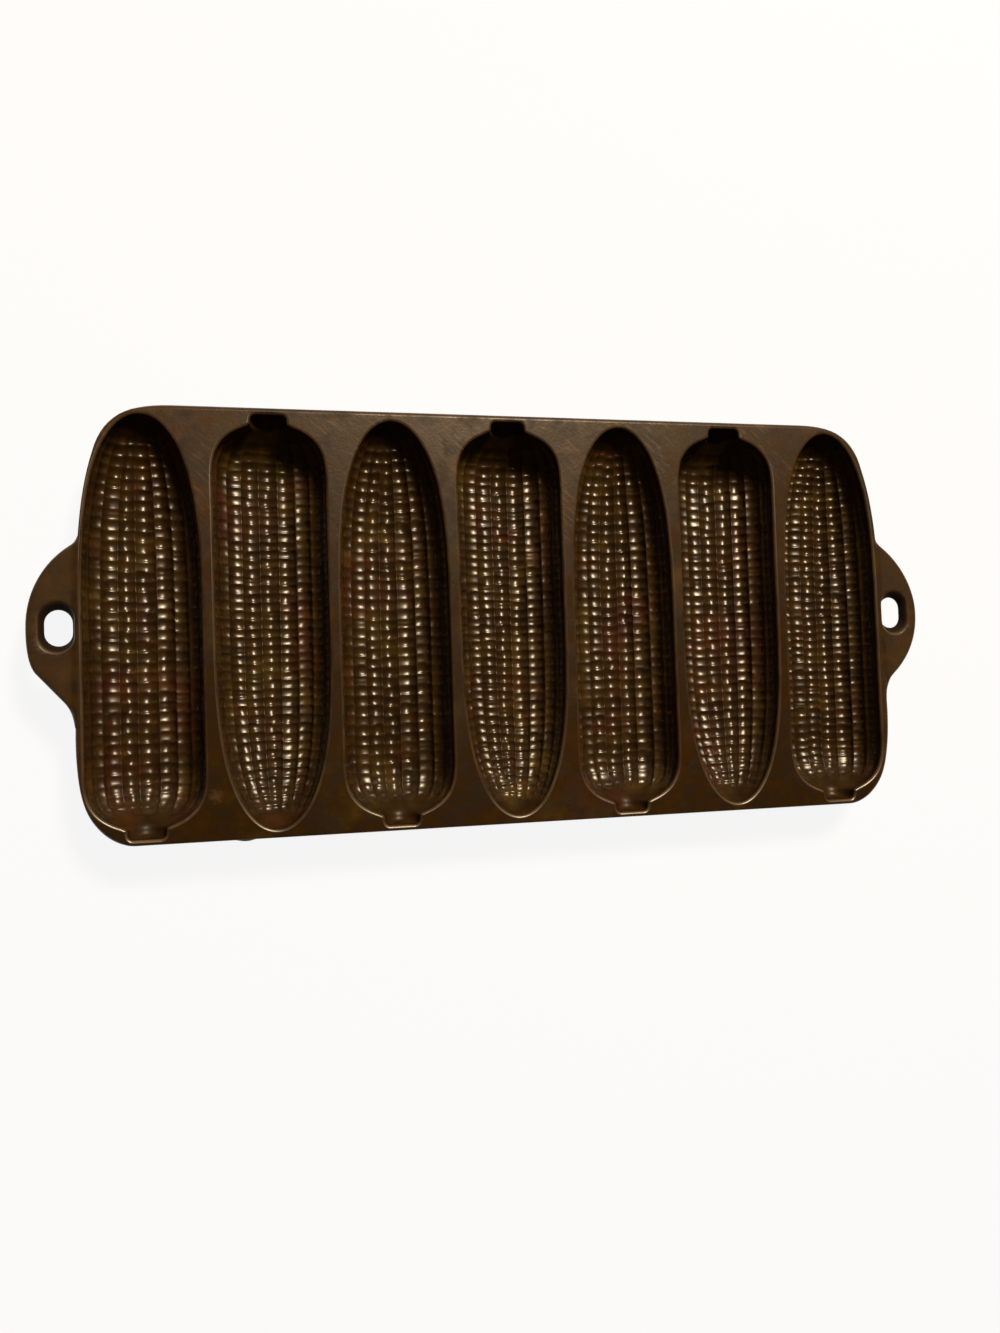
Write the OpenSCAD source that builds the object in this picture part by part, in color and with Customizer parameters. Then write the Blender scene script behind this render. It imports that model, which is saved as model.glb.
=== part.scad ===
// Corn stick pan: a cast iron baking pan with seven cob shaped moulds and an ear at each end.
// The origin is at the middle of the footprint on the resting plane. +X runs along the pan to the
// right ear, +Y to the long edge that the odd cobs point at, and +Z up out of the moulds.

/* [Pan] */
// Width between the two long edges
body_w = 149.3; // [149.2:0.1:152]
// Height from the resting plane to the top face
pan_h = 22.8; // [22.6:0.1:26]
// Thickness of the plate between the moulds
plate_t = 5; // [4:0.5:6]
// Half length at the widest part of the side rim
body_half_len = 151.7; // [151.5:0.1:152.2]

/* [Cobs] */
// Distance from one cob's middle to the next
cob_pitch = 43; // [42.9:0.1:43]
// Length of a cob from its tip to the end of its stalk
cob_len = 143.8; // [142:0.2:144]
// Width of a cob at the top face
cob_w = 38.6; // [37:0.1:38.6]
// Depth of a cob below the top face, to the ridges between the kernels
cob_depth = 18.2; // [16:0.1:18.4]
// Width of the stalk well
stalk_w = 11; // [9:0.2:12]
// Depth of the stalk well
stalk_depth = 6.25; // [5:0.25:7.5]
// How far the row of cobs lies to +X of the pan's middle
cob_shift = -0.6; // [-0.7:0.1:0.7]

/* [Kernels] */
// Columns of kernels across a cob
kernel_columns = 9; // [7:1:11]
// Groups of three kernel rows along a cob
kernel_row_groups = 12; // [8:1:12]
// Depth of a kernel's dimple
kernel_depth = 1.4; // [0.6:0.1:1.5]

/* [Ears] */
// Length over both ears
pan_len = 333.4; // [330:0.2:338]
// Step down from the top face to the top of an ear
ear_step = 0.8; // [0.4:0.1:1.2]
// Width of the hanging hole
hole_w = 9; // [7:0.2:9.2]
// Length of the hanging hole
hole_len = 12.2; // [11:0.2:14]

/* [Gate] */
// Width of the stub where the iron ran in
gate_w = 9.5; // [7:0.5:12]
// How far the stub stands out from the long edge
gate_proud = 0.7; // [0.5:0.1:1]

/* [Hidden] */
cob_count = 7;
mould_names = [for (i = [1 : cob_count]) str("cob_mould_", i)];
web_names = concat(["side_rim_left"], [for (i = [1 : cob_count - 1]) str("web_", i, "_", i + 1)],
    ["side_rim_right"]);

// The stub counts in the footprint, so the long edges lie a little to +Y of it
back_y = (body_w + gate_proud) / 2;
front_y = -(body_w - gate_proud) / 2;
plate_z = pan_h - plate_t;
ear_t = plate_t - ear_step;

// A cob is drawn with its tip at +Y: s runs from the tip, and u from the end of the stalk
cob_hw = cob_w / 2;
tip_y = cob_len / 2 - 0.5;
tip_taper = 75;
tip_power = 3.3;
tip_depth_power = 0.85;
shoulder_start = 3.5;
shoulder_len = 23;
shoulder_power = 3.65;
neck_blend = 3.2;
neck_slant = 0.15;
end_wall_start = 4.4;
end_wall_len = 18;
end_wall_power = 2.5;
floor_blend = 4;

// Where the kernels start and stop, and how they fade out at the tip. They are also shallower up the
// sides, so that a baked stick still lifts out.
kernels_from_tip = 4.6;
kernels_from_stalk = 7;
kernel_fade = 7;
rim_angle = 4;

// The mould's flange in the plate, its wall under the plate, and the keel that it stands on
flange = 0.7;
wall_top = 1.6;
wall_end = 1.3;
keel_tip_y = 30;
keel_stalk_y = -48;
keel_angle = 72.5;
neck_y = -68;
tip_rise = 1.8;
stalk_rise = 1.2;
neck_rise = 4;
hull_steps = 4;

rust_brown = [0.23, 0.18, 0.14];
iron_black = [0.16, 0.13, 0.11];
mould_tones = [iron_black, rust_brown];

// The larger of two values, with the corner between them rounded
function soft_max(a, b, round_off) = (a + b + sqrt((a - b) * (a - b) + round_off * round_off)) / 2;

// A quarter oval that rises from 0 to 1 over a length, and stays there
function oval(along, length, power) = sqrt(1 - pow(1 - min(max(along / length, 0), 1), power));

// Half width and depth of the cavity at s
function half_width(s) = s < cob_len / 2
    ? cob_hw * oval(s, tip_taper, tip_power)
    : let (u = cob_len - s)
        soft_max(stalk_w / 2 + neck_slant * u,
            cob_hw * oval(u - shoulder_start, shoulder_len, shoulder_power),
            neck_blend * max(0, 1 - u / (2 * shoulder_len)));
function depth(s) = s < cob_len / 2
    ? cob_depth * pow(oval(s, tip_taper, tip_power), tip_depth_power)
    : let (u = cob_len - s)
        soft_max(stalk_depth, cob_depth * oval(u - end_wall_start, end_wall_len, end_wall_power),
            floor_blend * max(0, 1 - u / (2 * end_wall_len)));

// Stations along the cob: the tip, one line for each edge of a kernel row, and the stalk
kernel_rows = 3 * kernel_row_groups;
row_pitch = (cob_len - kernels_from_tip - kernels_from_stalk) / kernel_rows;
tip_stations = [0.35, 2.2];
row_stations = [for (r = [0 : kernel_rows]) kernels_from_tip + r * row_pitch];
stalk_stations = [for (u = [5.9, 4.8, 3.6, 2, 0]) cob_len - u];
stations = concat(tip_stations, row_stations, stalk_stations);
first_row = len(tip_stations);
last_row = first_row + kernel_rows;
last_station = len(stations) - 1;

// The rim takes every station at the two ends, and every third one between
rim_stations = concat([for (i = [0 : first_row + 3]) i], [for (i = [first_row + 6 : 3 : last_row - 6]) i],
    [for (i = [last_row - 3 : last_station]) i]);
rim_last = len(rim_stations) - 1;
rim_count = 2 * len(rim_stations);

// One line across the cavity at station i, rim to rim, through the ridges between the columns
ridge_angles = [for (c = [0 : kernel_columns]) -90 + rim_angle + c * (180 - 2 * rim_angle) / kernel_columns];
function cavity_point(s, angle, deeper) =
    [(half_width(s) + deeper) * sin(angle), tip_y - s, pan_h - (depth(s) + deeper) * cos(angle)];
function kernel_middle(row, column) = let (
        s = (stations[first_row + row] + stations[first_row + row + 1]) / 2,
        angle = (ridge_angles[column] + ridge_angles[column + 1]) / 2,
        fade = min(1, (s - kernels_from_tip + row_pitch) / kernel_fade)
    ) cavity_point(s, angle, kernel_depth * fade * sqrt(cos(angle)));

// The outline of the cavity, grown sideways by a distance, and by another at the end of the stalk
function slope(s) = (half_width(s + 0.05) - half_width(s - 0.05)) / 0.1;
function outline_side(side, grow, grow_end) = [for (i = rim_stations)
    let (s = stations[i], n = [1, slope(s)] / norm([1, slope(s)]))
    i == last_station ? [side * (half_width(s) + grow), tip_y - s - grow_end]
        : [side * (half_width(s) + grow * n[0]), tip_y - s + grow * n[1]]];
function reversed(list) = [for (i = [len(list) - 1 : -1 : 0]) list[i]];
function outline(grow, grow_end) = concat(outline_side(-1, grow, grow_end),
    reversed(outline_side(1, grow, grow_end)));

// The loops of the mould's outside, from the rim down to the flat keel. Its ends are drawn in towards
// the keel, the neck under the stalk well the fastest.
function at_height(loop, z) = [for (p = loop) [p[0], p[1], z]];
function drawn_in(y, angle) = y > keel_tip_y
    ? keel_tip_y + (y - keel_tip_y) * pow(cos(angle), tip_rise)
    : y > keel_stalk_y ? y
    : keel_stalk_y + (max(y, neck_y) - keel_stalk_y) * pow(cos(angle), stalk_rise)
        + min(y - neck_y, 0) * pow(cos(angle), neck_rise);
function hull_loop(angle) = [for (p = outline(wall_top, wall_end))
    [p[0] * cos(angle), drawn_in(p[1], angle), plate_z * (1 - sin(angle) / sin(keel_angle))]];
loops = concat(
    [at_height(outline(0, 0), pan_h), at_height(outline(flange, flange), pan_h),
        at_height(outline(flange, flange), plate_z)],
    [for (k = [0 : hull_steps]) hull_loop(k * keel_angle / hull_steps)]);

// Points of the mould: the loops, then the ridge lines, then the middles of the kernels
ridge_count = kernel_columns + 1;
ridge_start = len(loops) * rim_count;
middle_start = ridge_start + len(stations) * ridge_count;
mould_points = concat(
    [for (loop = loops) each loop],
    [for (s = stations) for (a = ridge_angles) cavity_point(s, a, 0)],
    [for (r = [0 : kernel_rows - 1]) for (c = [0 : kernel_columns - 1]) kernel_middle(r, c)]);
function left_rim(k) = k;
function right_rim(k) = rim_count - 1 - k;
function ridge(i, c) = ridge_start + i * ridge_count + c;
function middle(r, c) = middle_start + r * kernel_columns + c;

// Faces, clockwise seen from outside
function quad(a, b, c, d) = [[a, b, c], [a, c, d]];
loop_faces = [for (k = [0 : len(loops) - 2]) for (j = [0 : rim_count - 1])
    let (n = (j + 1) % rim_count, low = k * rim_count, high = low + rim_count)
    each quad(low + j, low + n, high + n, high + j)];
keel = (len(loops) - 1) * rim_count;
keel_faces = [for (k = [0 : rim_last - 1])
    each quad(keel + left_rim(k), keel + left_rim(k + 1), keel + right_rim(k + 1), keel + right_rim(k))];
side_faces = [for (k = [0 : rim_last - 1])
    let (a = rim_stations[k], b = rim_stations[k + 1])
    each concat(
        [for (m = [a : b - 1]) [left_rim(k), ridge(m, 0), ridge(m + 1, 0)]],
        [[left_rim(k), ridge(b, 0), left_rim(k + 1)]],
        [for (m = [a : b - 1]) [right_rim(k), ridge(m + 1, kernel_columns), ridge(m, kernel_columns)]],
        [[right_rim(k), right_rim(k + 1), ridge(b, kernel_columns)]])];
plain_strips = concat([for (i = [0 : first_row - 1]) i], [for (i = [last_row : last_station - 1]) i]);
plain_faces = [for (i = plain_strips) for (c = [0 : kernel_columns - 1])
    each quad(ridge(i, c), ridge(i, c + 1), ridge(i + 1, c + 1), ridge(i + 1, c))];
kernel_faces = [for (r = [0 : kernel_rows - 1]) for (c = [0 : kernel_columns - 1])
    let (m = middle(r, c), i = first_row + r)
    each [[ridge(i, c), ridge(i, c + 1), m], [ridge(i, c + 1), ridge(i + 1, c + 1), m],
        [ridge(i + 1, c + 1), ridge(i + 1, c), m], [ridge(i + 1, c), ridge(i, c), m]]];
tip_face = concat([left_rim(0), right_rim(0)], [for (c = [kernel_columns : -1 : 0]) ridge(0, c)]);
stalk_face = concat([right_rim(rim_last), left_rim(rim_last)],
    [for (c = [0 : kernel_columns]) ridge(last_station, c)]);
mould_faces = concat(loop_faces, keel_faces, side_faces, plain_faces, kernel_faces,
    [tip_face, stalk_face]);

// A point on a cubic curve through p[0] and p[3], drawn towards p[1] and p[2]
function curve_point(p, t) = p[0] * pow(1 - t, 3) + p[1] * 3 * t * pow(1 - t, 2)
    + p[2] * 3 * t * t * (1 - t) + p[3] * pow(t, 3);
function curve(p, steps) = [for (k = [0 : steps - 1]) curve_point(p, k / steps)];

// The right half of the plate's outline. The corner round a tip is drawn out, the side widens from
// there, and the corner round a stalk is full.
function from_edge(points) = [for (p = points) [body_half_len - p[0], p[1]]];
tip_corner = from_edge([[33, back_y], [18.6, back_y], [10, back_y - 4.4], [6.9, back_y - 17]]);
tip_flank = from_edge([[6.9, back_y - 17], [3.5, back_y - 28], [1.5, back_y - 43], [1, back_y - 65]]);
stalk_flank = from_edge([[0, front_y + 36.3], [0, front_y + 26.3], [1, front_y + 15.6],
    [4.3, front_y + 9.6]]);
stalk_corner = from_edge([[4.3, front_y + 9.6], [7.3, front_y + 4.2], [12.5, front_y], [18.5, front_y]]);
half_outline = concat(curve(tip_corner, 8), curve(tip_flank, 6), [tip_flank[3]], curve(stalk_flank, 4),
    curve(stalk_corner, 7), [stalk_corner[3]]);
module body_outline() {
    polygon(concat(half_outline, reversed([for (p = half_outline) [-p[0], p[1]]])));
}

// The outlines of the ears, from the back of the root round the end to the front. The left ear is
// drawn as it looks mirrored: it has a soft corner and a straight slanting edge at its front.
ear_end = pan_len / 2;
ear_inner = [[146, -36], [146, 35]];
right_ear = concat(
    curve([[148, 36], [148.8, 31.5], [149.9, 28.8], [152.9, 26.6]], 4),
    curve([[152.9, 26.6], [160.2, 21], [ear_end, 11], [ear_end, 0]], 8),
    curve([[ear_end, 0], [ear_end, -8.5], [163.6, -17], [155.6, -24]], 8),
    curve([[155.6, -24], [153.4, -26], [152.3, -28.5], [151.2, -36]], 4), [[151.2, -36]]);
left_ear = concat(
    curve([[148.2, 35], [149.4, 30.2], [150.3, 28], [152.8, 26.5]], 4),
    curve([[152.8, 26.5], [159.8, 21.8], [ear_end, 12.5], [ear_end, -1]], 8),
    curve([[ear_end, -1], [ear_end, -8], [166, -13.2], [163.8, -16]], 5), [[163.8, -16]],
    curve([[155.4, -25.4], [153.4, -27.6], [152.2, -30], [151.4, -36]], 4), [[151.4, -36]]);

// The hanging hole is oblong. Above a short throat it widens like a funnel to the top face, and below
// it a little to the bottom face. Each flare is drawn past the face and into the hole by a share of
// its height, so that it cuts cleanly. The right hole lies a little back of the middle, and the left
// one a little in front of it.
hole_x = body_half_len + 5;
hole_y = 0.7;
throat = [0.6, 1.2];
funnel_spread = [1.6, 5.2];
under_spread = [1, 1];
flare_past = 0.2;
arc_steps = 8;
function oblong(size) = [for (end = [0, 1]) for (k = [0 : arc_steps])
    let (a = 180 * (end + k / arc_steps), y = (end == 0 ? 1 : -1) * (size[1] - size[0]) / 2)
    [size[0] / 2 * cos(a), y + size[0] / 2 * sin(a)]];
module flare(size, spread, height) {
    small = size - spread * flare_past;
    large = size + spread * (1 + flare_past);
    translate([0, 0, -height * flare_past])
        linear_extrude(height * (1 + 2 * flare_past), scale = [large[0] / small[0], large[1] / small[1]])
            polygon(oblong(small));
}
module hanging_hole(size) {
    translate([0, 0, -1])
        linear_extrude(ear_t + 2) polygon(oblong(size));
    translate([0, 0, throat[1]])
        flare(size, funnel_spread, ear_t - throat[1]);
    translate([0, 0, throat[0]])
        mirror([0, 0, 1])
            flare(size, under_spread, throat[0]);
}

// Odd cobs point to +Y, even ones to -Y
function cob_x(i) = (i - (cob_count + 1) / 2) * cob_pitch + cob_shift;
module place_cob(i) {
    translate([cob_x(i), 0, 0])
        rotate([0, 0, i % 2 == 0 ? 180 : 0])
            children();
}

// The plate is cut at the middle of each cob: web k fills the space between cobs k and k + 1, and the
// first and last are the side rims
past_edge = 1;
module web(k) {
    from = k == 0 ? -body_half_len - past_edge : cob_x(k);
    to = k == cob_count ? body_half_len + past_edge : cob_x(k + 1);
    color(rust_brown)
        translate([0, 0, plate_z])
            linear_extrude(plate_t)
                difference() {
                    intersection() {
                        body_outline();
                        translate([from, front_y - past_edge])
                            square([to - from, body_w + 2 * past_edge]);
                    }
                    for (i = [max(k, 1) : min(k + 1, cob_count)]) {
                        place_cob(i) polygon(outline(flange, flange));
                    }
                }
}

module cob_mould(i) {
    color(mould_tones[i % 2])
        place_cob(i)
            polyhedron(points = mould_points, faces = mould_faces, convexity = 6);
}

module handle(side) {
    color(rust_brown)
        translate([0, 0, pan_h - ear_step - ear_t])
            mirror([side < 0 ? 1 : 0, 0, 0])
                difference() {
                    linear_extrude(ear_t)
                        difference() {
                            polygon(concat(side < 0 ? left_ear : right_ear, ear_inner));
                            body_outline();
                        }
                    translate([hole_x, side * hole_y, 0])
                        hanging_hole([hole_w, hole_len]);
                }
}

// Left of the middle on the front edge, where the casting was broken from its gate: a low swelling
// that runs out softly to both sides
gate_x = -97.5;
gate_h = 3.6;
gate_top = 0.6;
gate_steps = 10;
module gate_stub() {
    color(rust_brown)
        translate([gate_x, front_y, pan_h - gate_top - gate_h])
            linear_extrude(gate_h)
                polygon([for (k = [0 : gate_steps])
                    [gate_w * (k / gate_steps - 0.5), -gate_proud * (1 - cos(360 * k / gate_steps)) / 2]]);
}

for (k = [0 : cob_count]) {
    web(k);
}
for (i = [1 : cob_count]) {
    cob_mould(i);
}
handle(-1);  // handle_left
handle(1);  // handle_right
gate_stub();
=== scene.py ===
"""A seasoned cast iron corn stick pan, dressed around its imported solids, and the stage it is seen on.

Lengths are in metres. The origin is at the middle of the footprint on the resting plane, +X runs to
the right ear, +Y to the long edge that the odd cobs point at, and +Z up out of the moulds.
"""

import math
import random

import bmesh
import bpy
from bpy.props import FloatProperty, FloatVectorProperty, IntProperty, IntVectorProperty, PointerProperty
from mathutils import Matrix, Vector, noise


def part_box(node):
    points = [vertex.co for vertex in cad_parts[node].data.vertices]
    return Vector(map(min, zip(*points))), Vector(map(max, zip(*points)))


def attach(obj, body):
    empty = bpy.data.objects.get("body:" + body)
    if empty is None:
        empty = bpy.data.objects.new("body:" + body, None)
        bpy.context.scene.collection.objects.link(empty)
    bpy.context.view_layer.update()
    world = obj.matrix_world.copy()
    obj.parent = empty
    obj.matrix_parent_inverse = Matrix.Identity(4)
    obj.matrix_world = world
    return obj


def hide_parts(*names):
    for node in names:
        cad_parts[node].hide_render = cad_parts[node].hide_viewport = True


bl_info = {
    "name": "Corn Stick Pan",
    "version": (1, 0, 0),
    "blender": (4, 5, 0),
    "location": "View3D > Sidebar > Corn Pan",
    "description": "Builds a seasoned cast iron corn stick pan and the stage it is seen on",
    "category": "Add Mesh",
}

MM = 0.001

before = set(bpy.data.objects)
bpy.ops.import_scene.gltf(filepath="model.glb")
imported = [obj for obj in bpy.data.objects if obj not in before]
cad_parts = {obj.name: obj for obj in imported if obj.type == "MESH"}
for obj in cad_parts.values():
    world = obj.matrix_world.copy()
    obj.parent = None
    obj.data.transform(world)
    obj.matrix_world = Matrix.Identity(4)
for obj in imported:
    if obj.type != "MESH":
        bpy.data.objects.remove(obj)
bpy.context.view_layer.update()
MOULD_NODES = sorted(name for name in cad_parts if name.startswith("cob_mould_"))
PLATE_NODES = sorted(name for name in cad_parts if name.startswith(("web_", "side_rim_")))
WEB_BOXES = [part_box(name) for name in PLATE_NODES]
PLATE_LOW = Vector(min(low[k] for low, _ in WEB_BOXES) for k in range(3))
PLATE_HIGH = Vector(max(high[k] for _, high in WEB_BOXES) for k in range(3))
EAR_LOW, EAR_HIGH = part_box("handle_right")
GATE_LOW, GATE_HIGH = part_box("gate_stub")


def size_prop(name, description, millimetres):
    return FloatProperty(name=name, description=description, default=millimetres * MM, unit="LENGTH")


def share_prop(name, description, share, most=1.0):
    return FloatProperty(
        name=name, description=description, default=share, min=0, max=most, subtype="FACTOR"
    )


def colour_prop(name, description, colour):
    return FloatVectorProperty(
        name=name, description=description, default=colour, min=0, max=1, subtype="COLOR"
    )


class CobSizes(bpy.types.PropertyGroup):
    """One cob shaped cavity, drawn with its tip at +Y"""

    length: size_prop("Length", "From the tip to the end of the stalk", 143.8)
    width: size_prop("Width", "Widest place, at the top face", 38.6)
    depth: size_prop("Depth", "From the top face to the ridges", 18.2)
    stalk_width: size_prop("Stalk width", "Width of the stalk well", 11.0)
    stalk_depth: size_prop("Stalk depth", "Depth of the stalk well", 6.25)
    lip: size_prop("Lip", "Radius of the rounded edge round the cavity", 1.0)
    wall: size_prop("Wall", "Thickness of the mould's side wall", 1.6)


class KernelSizes(bpy.types.PropertyGroup):
    """The dimples that shape the kernels"""

    columns: IntProperty(name="Columns", description="Columns across a cob", default=9, min=5, max=13)
    rows: IntVectorProperty(
        name="Rows", description="Rows along each cob, from the left", size=7, min=12, max=48,
        default=(37, 42, 37, 42, 37, 38, 42)
    )
    column_depth: size_prop("Column depth", "Depth of a column below the ridges beside it", 1.4)
    row_depth: size_prop("Row depth", "Depth of a kernel below the ridges between rows", 0.50)
    spread: share_prop("Spread", "How much columns differ in width", 0.06, most=0.4)
    wander: size_prop("Wander", "How far a column's rows slip from the next one's", 0.70)


class PlateSizes(bpy.types.PropertyGroup):
    """The plate, its edges and its ears"""

    edge_round: size_prop("Edge round", "Radius of the plate's upper edge", 1.7)
    ear_round: size_prop("Ear round", "Radius of an ear's upper edge", 1.4)
    under_round: size_prop("Under round", "Radius of the lower edges", 0.6)
    hole_width: size_prop("Hole width", "Width of a hanging hole", 9.0)
    hole_length: size_prop("Hole length", "Length of a hanging hole", 12.2)
    unevenness: size_prop("Unevenness", "How far the cast face dips", 0.16)


class IronFinish(bpy.types.PropertyGroup):
    """Colours and gloss of the seasoned iron, with some painted sheen, shade and highlights among the
    colours
    """

    plate_colour: colour_prop("Plate", "Seasoning on the plate", (0.0255, 0.0112, 0.0011))
    # Along the plate's back edge this paler colour is painted sheen from the lamp; on the ears it is their
    # paler tone.
    sheen_and_ear_colour: colour_prop("Dry plate", "Painted sheen along the back, and the ears' paler tone", (0.038, 0.0205, 0.0084))
    cup_colour: colour_prop("Cups", "Seasoning in the moulds", (0.029, 0.0136, 0.0024))
    rust_colour: colour_prop("Rust", "Red brown patches", (0.048, 0.0110, 0.0036))
    olive_colour: colour_prop("Olive", "Paler, yellower patches", (0.058, 0.037, 0.0050))
    # Painted shade: a dark colour on the walls of the hanging holes, where shade falls.
    hole_shade_colour: colour_prop("Hole shade", "Painted shade on the walls of the hanging holes", (0.010, 0.0045, 0.0012))
    scratch_colour: colour_prop("Scratches", "Fine scratches from scouring", (0.125, 0.080, 0.044))
    # Pale colour of rubbed edges; on lips and hole mouths that face the lamp it is also a painted highlight.
    wear_and_glint_colour: colour_prop("Worn edge", "Edges rubbed thin, with painted highlights where they face the lamp", (0.170, 0.110, 0.066))
    plate_roughness: share_prop("Plate roughness", "Roughness of the plate", 0.38)
    cup_roughness: share_prop("Cup roughness", "Roughness in the moulds", 0.33)


class StageSetup(bpy.types.PropertyGroup):
    """Floor, lamp and camera"""

    floor_colour: colour_prop("Floor", "Colour of the floor", (0.86, 0.86, 0.86))
    lamp_colour: colour_prop("Lamp colour", "Colour of the lamp's light", (1.0, 0.79, 0.53))
    fill_colour: colour_prop("Fill colour", "Colour of the light all round", (1.0, 0.58, 0.24))
    fill: FloatProperty(name="Fill", description="Strength of the light all round", default=0.04, min=0)
    lamp_power: FloatProperty(
        name="Lamp power", description="Power of the main lamp", default=29.0, min=0, unit="POWER"
    )
    lamp_size: size_prop("Lamp size", "Width of the main lamp", 380)
    lamp_place: FloatVectorProperty(
        name="Lamp place", description="Where the main lamp hangs", default=(0.32, 0.82, 1.25),
        subtype="TRANSLATION"
    )
    lens: FloatProperty(name="Lens", description="Focal length in millimetres", default=29.11, min=1)
    camera_place: FloatVectorProperty(
        name="Camera place", description="Where the camera is held", default=(-0.0989, -0.0317, 0.4022),
        subtype="TRANSLATION"
    )
    camera_turn: FloatVectorProperty(
        name="Camera turn", description="How the camera is turned from straight down",
        default=(math.radians(2.574), math.radians(-13.605), math.radians(-1.963)), subtype="EULER"
    )


def soft_max(a, b, blend):
    """The larger of two values, with the corner between them rounded"""
    return (a + b + math.hypot(a - b, blend)) / 2


def oval(along, length, power):
    """A quarter oval that rises from 0 to 1 over a length, and stays there"""
    return math.sqrt(1 - (1 - min(max(along / length, 0), 1)) ** power)


def smooth_step(low, high, value):
    """0 below low, 1 above high, and an even curve between"""
    t = min(max((value - low) / (high - low), 0), 1)
    return t * t * (3 - 2 * t)


def turn_mix(a, b, share):
    """The value at a share of the way from a to b"""
    return a + (b - a) * share


class CobForm:
    """Half width and depth of a cavity, where s runs from the tip and u from the end of the stalk"""

    TIP_TAPER = 75 * MM
    TIP_POWER = 3.3
    TIP_DEPTH_POWER = 0.85
    SHOULDER_START = 3.5 * MM
    SHOULDER_LENGTH = 23 * MM
    SHOULDER_POWER = 3.65
    NECK_BLEND = 3.2 * MM
    NECK_SLANT = 0.15
    END_WALL_START = 4.4 * MM
    END_WALL_LENGTH = 18 * MM
    END_WALL_POWER = 2.5
    END_WALL_EASE = 2 * MM
    FLOOR_BLEND = 5 * MM
    STALK_CORNER = 1.4 * MM
    KERNELS_FROM_TIP = 4.6 * MM
    KERNELS_FROM_STALK = 7 * MM
    COLUMN_FADES = (17 * MM, 4 * MM)
    ROW_FADES = (6 * MM, 3 * MM)
    RIM_ANGLE = 4
    TIP_STEPS = 8
    STALK_STEPS = 12
    WALL_ROUND = 2.2 * MM
    CUTS_ACROSS = (0, 0.045, 0.13, 0.24, 0.34, 0.43, 0.5, 0.57, 0.66, 0.76, 0.87, 0.955)
    CUTS_ALONG = (0, 0.13, 0.27, 0.42, 0.58, 0.73, 0.87)
    ROUND_STEPS = 4
    END_WALL_SHARES = (0.66, 0.33, 0)
    TIP_SHIFT = 0.5 * MM
    CUP_EDGE = (-0.2 * MM, 1.6 * MM)
    LIP_STEPS = 6
    # Lips at the end that faces the lamp get more of the worn colour: real wear with a painted highlight.
    LIP_WEAR_AND_GLINT = (0.35, 1.0)
    LIP_SHINE = (0.5, 1.0)

    def __init__(self, sizes, kernels, number):
        self.sizes = sizes
        self.kernels = kernels
        self.number = number
        self.rows = kernels.rows[number - 1]
        self.tip_y = sizes.length / 2 - self.TIP_SHIFT
        self.rim_z = PLATE_HIGH.z - sizes.lip
        self.row_pitch = (sizes.length - self.KERNELS_FROM_TIP - self.KERNELS_FROM_STALK) / self.rows
        self.across = self.columns_across()
        self.along = self.stations_along()

    def half_width(self, s):
        half = self.sizes.width / 2
        if s < self.sizes.length / 2:
            return half * oval(s, self.TIP_TAPER, self.TIP_POWER)
        u = self.sizes.length - s
        blend = self.NECK_BLEND * max(0, 1 - u / (2 * self.SHOULDER_LENGTH))
        shoulder = half * oval(u - self.SHOULDER_START, self.SHOULDER_LENGTH, self.SHOULDER_POWER)
        corner = self.STALK_CORNER
        past = min(max((corner - u) / corner, 0), 1)
        neck = self.sizes.stalk_width / 2 + self.NECK_SLANT * u
        return soft_max(neck, shoulder, blend) - corner * (1 - math.sqrt(1 - past * past))

    def depth(self, s):
        if s < self.sizes.length / 2:
            return self.sizes.depth * oval(s, self.TIP_TAPER, self.TIP_POWER) ** self.TIP_DEPTH_POWER
        u = self.sizes.length - s
        blend = self.FLOOR_BLEND * max(0, 1 - u / (2 * self.END_WALL_LENGTH))
        along = soft_max(u - self.END_WALL_START, 0, self.END_WALL_EASE)
        wall = self.sizes.depth * oval(along, self.END_WALL_LENGTH, self.END_WALL_POWER)
        return soft_max(self.sizes.stalk_depth, wall, blend)

    def columns_across(self):
        """(angle, column, place in the column from -1 to 1) for each line along the cob, rim to rim"""
        rim = self.RIM_ANGLE
        count = self.kernels.columns
        draw = random.Random(90 + self.number)
        spread = self.kernels.spread
        wide = (180 - 2 * rim) / count
        edges = [-90 + rim + wide * (k + (draw.uniform(-spread, spread) if 0 < k < count else 0))
                 for k in range(count + 1)]
        lines = [(-90, None, 0), (-90 + rim / 2, None, 0)]
        for column in range(count):
            lines += [(turn_mix(edges[column], edges[column + 1], cut), column, 2 * cut - 1)
                      for cut in self.CUTS_ACROSS]
        return lines + [(90 - rim, count, -1), (90 - rim / 2, None, 0), (90, None, 0)]

    def stations_along(self):
        """(s, row, place in the row from -1 to 1, share of the depth) for each line across the cob"""
        start = self.KERNELS_FROM_TIP
        length = self.sizes.length
        lines = [(start * (k / self.TIP_STEPS) ** 2, None, 0, 1) for k in range(self.TIP_STEPS)]
        for row in range(self.rows):
            lines += [(start + (row + cut) * self.row_pitch, row, 2 * cut - 1, 1) for cut in self.CUTS_ALONG]
        smooth = self.KERNELS_FROM_STALK
        round_off = self.WALL_ROUND
        for k in range(self.STALK_STEPS):
            u = turn_mix(smooth, round_off, k / self.STALK_STEPS)
            lines.append((length - u, self.rows if k == 0 else None, -1 if k == 0 else 0, 1))
        drop = round_off / self.sizes.stalk_depth
        for k in range(self.ROUND_STEPS + 1):
            turn = math.radians(90 * k / self.ROUND_STEPS)
            s = length - round_off * (1 - math.sin(turn))
            lines.append((s, None, 0, 1 - drop * (1 - math.cos(turn))))
        self.wall_station = len(lines) - 1
        return lines + [(length, None, 0, (1 - drop) * share) for share in self.END_WALL_SHARES]

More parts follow.
